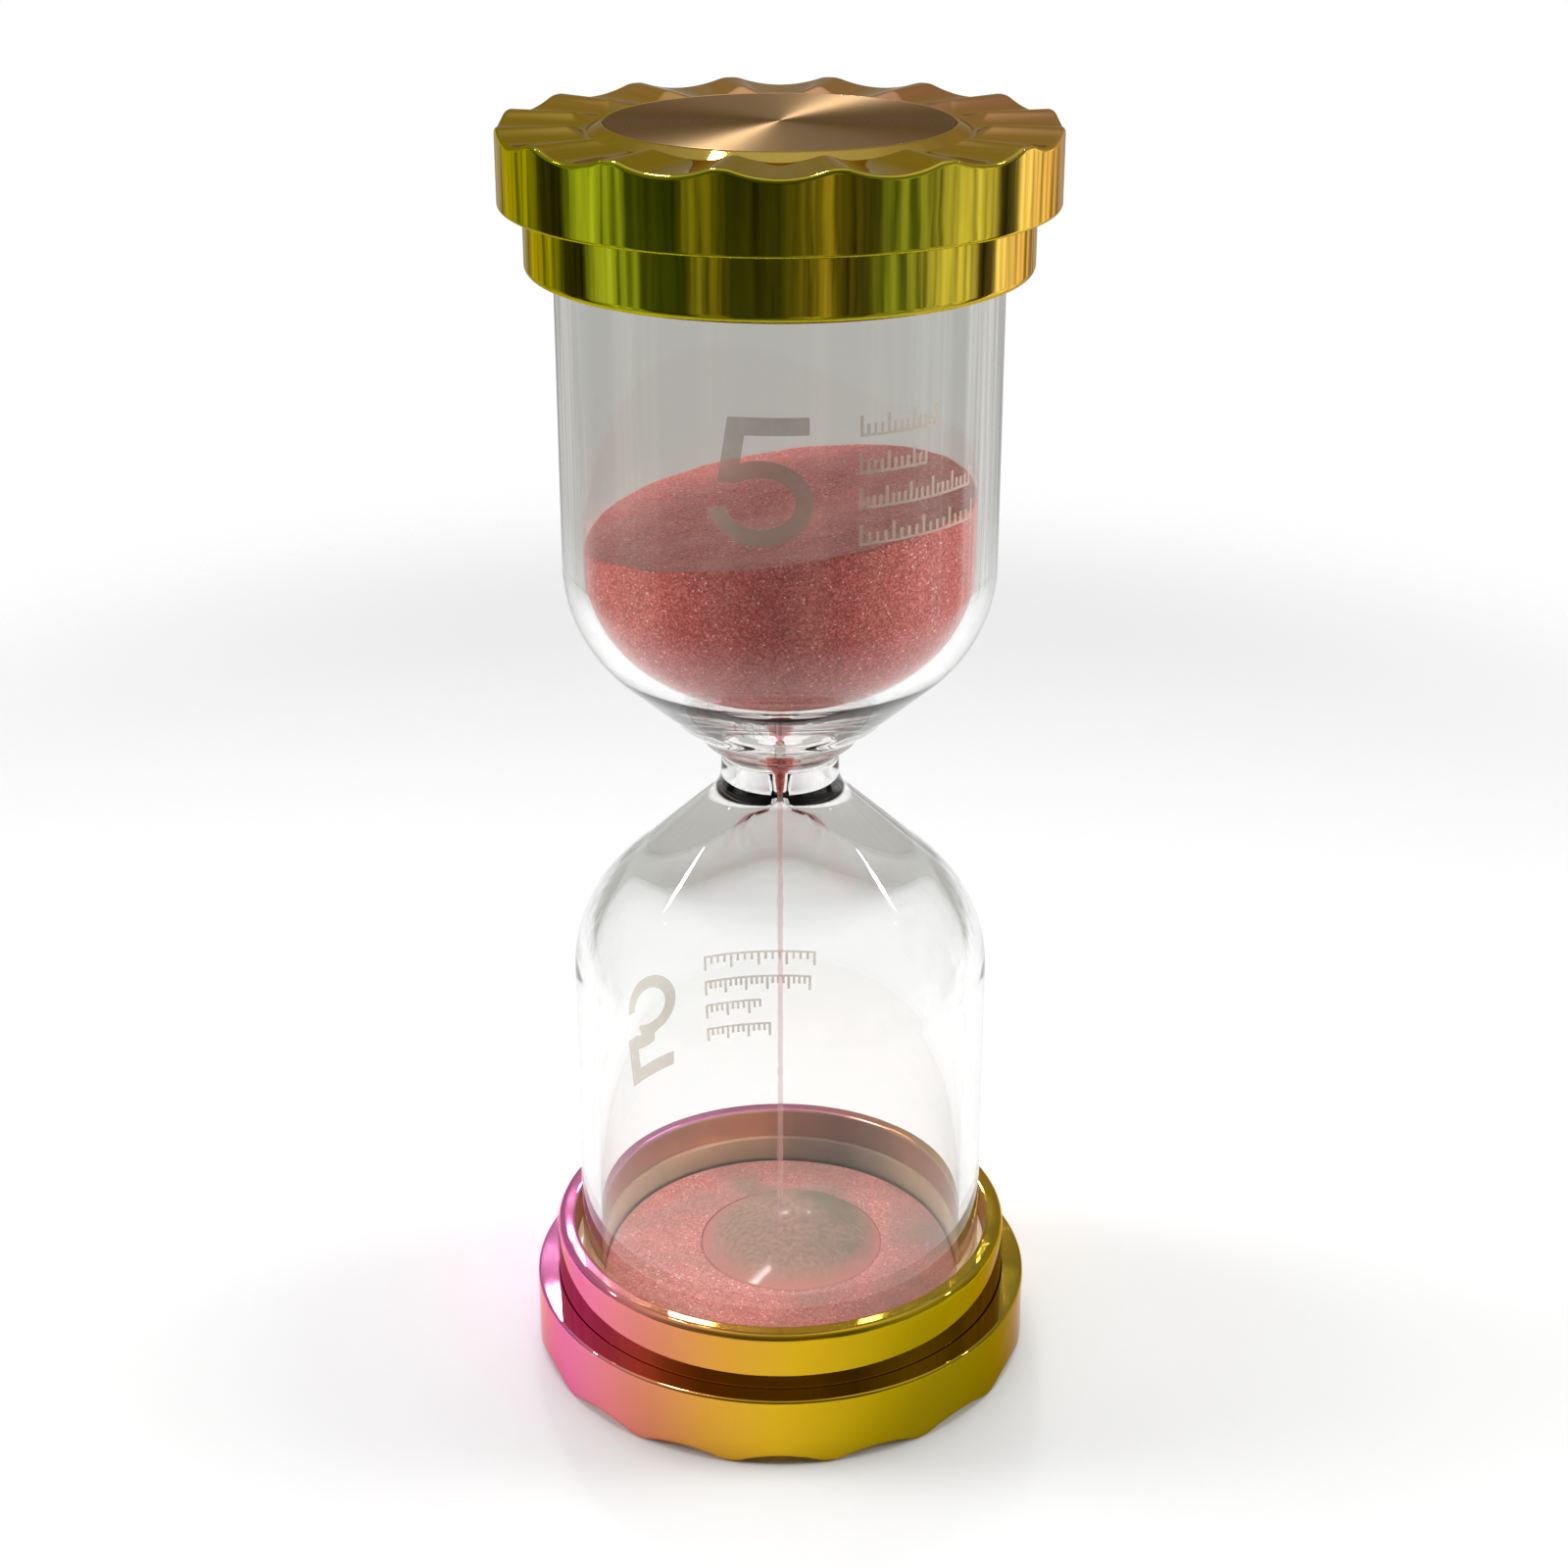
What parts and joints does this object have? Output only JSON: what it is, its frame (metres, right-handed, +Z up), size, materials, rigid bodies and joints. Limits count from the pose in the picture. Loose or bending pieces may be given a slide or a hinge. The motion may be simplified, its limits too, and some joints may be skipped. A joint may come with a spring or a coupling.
{
  "type": "hourglass",
  "caption": "Small sand timer: a blown glass body with a narrow waist and pink sand, held between fluted plated caps that it stands on.",
  "frame": {"origin": "centre of the bottom cap's resting plane", "axes": "+Z up along the glass axis from the bottom cap to the top cap, -Y towards the viewer of the front print"},
  "size_m": [0.04, 0.04, 0.0991],
  "materials": {
    "plated_top": "mirror plating with a tinted lacquer that fades from olive gold to rose",
    "plated_bottom": "mirror plating with a tinted lacquer that fades from pink through gold to olive",
    "brushed_disc": "circular brushed, bronze tint",
    "foam": "matt closed-cell foam",
    "glue": "cured clear adhesive, slightly cloudy",
    "glass": "clear blown glass",
    "stopper": "matt silicone",
    "sand": "fine dyed sand with glints",
    "print_ink": "thin pale grey screen print"
  },
  "bodies": {
    "root": {"bottom_cap": "plated_bottom", "bottom_collar": "plated_bottom", "bottom_face_disc": "brushed_disc", "bottom_cushion": "foam", "bottom_glue_ring": "glue", "top_cap": "plated_top", "top_collar": "plated_top", "top_face_disc": "brushed_disc", "top_cushion": "foam", "top_glue_ring": "glue", "glass_body": "glass", "fill_stopper": "stopper", "sand_upper": "sand", "sand_stream": "sand", "sand_lower": "sand"}
  },
  "joints": []
}
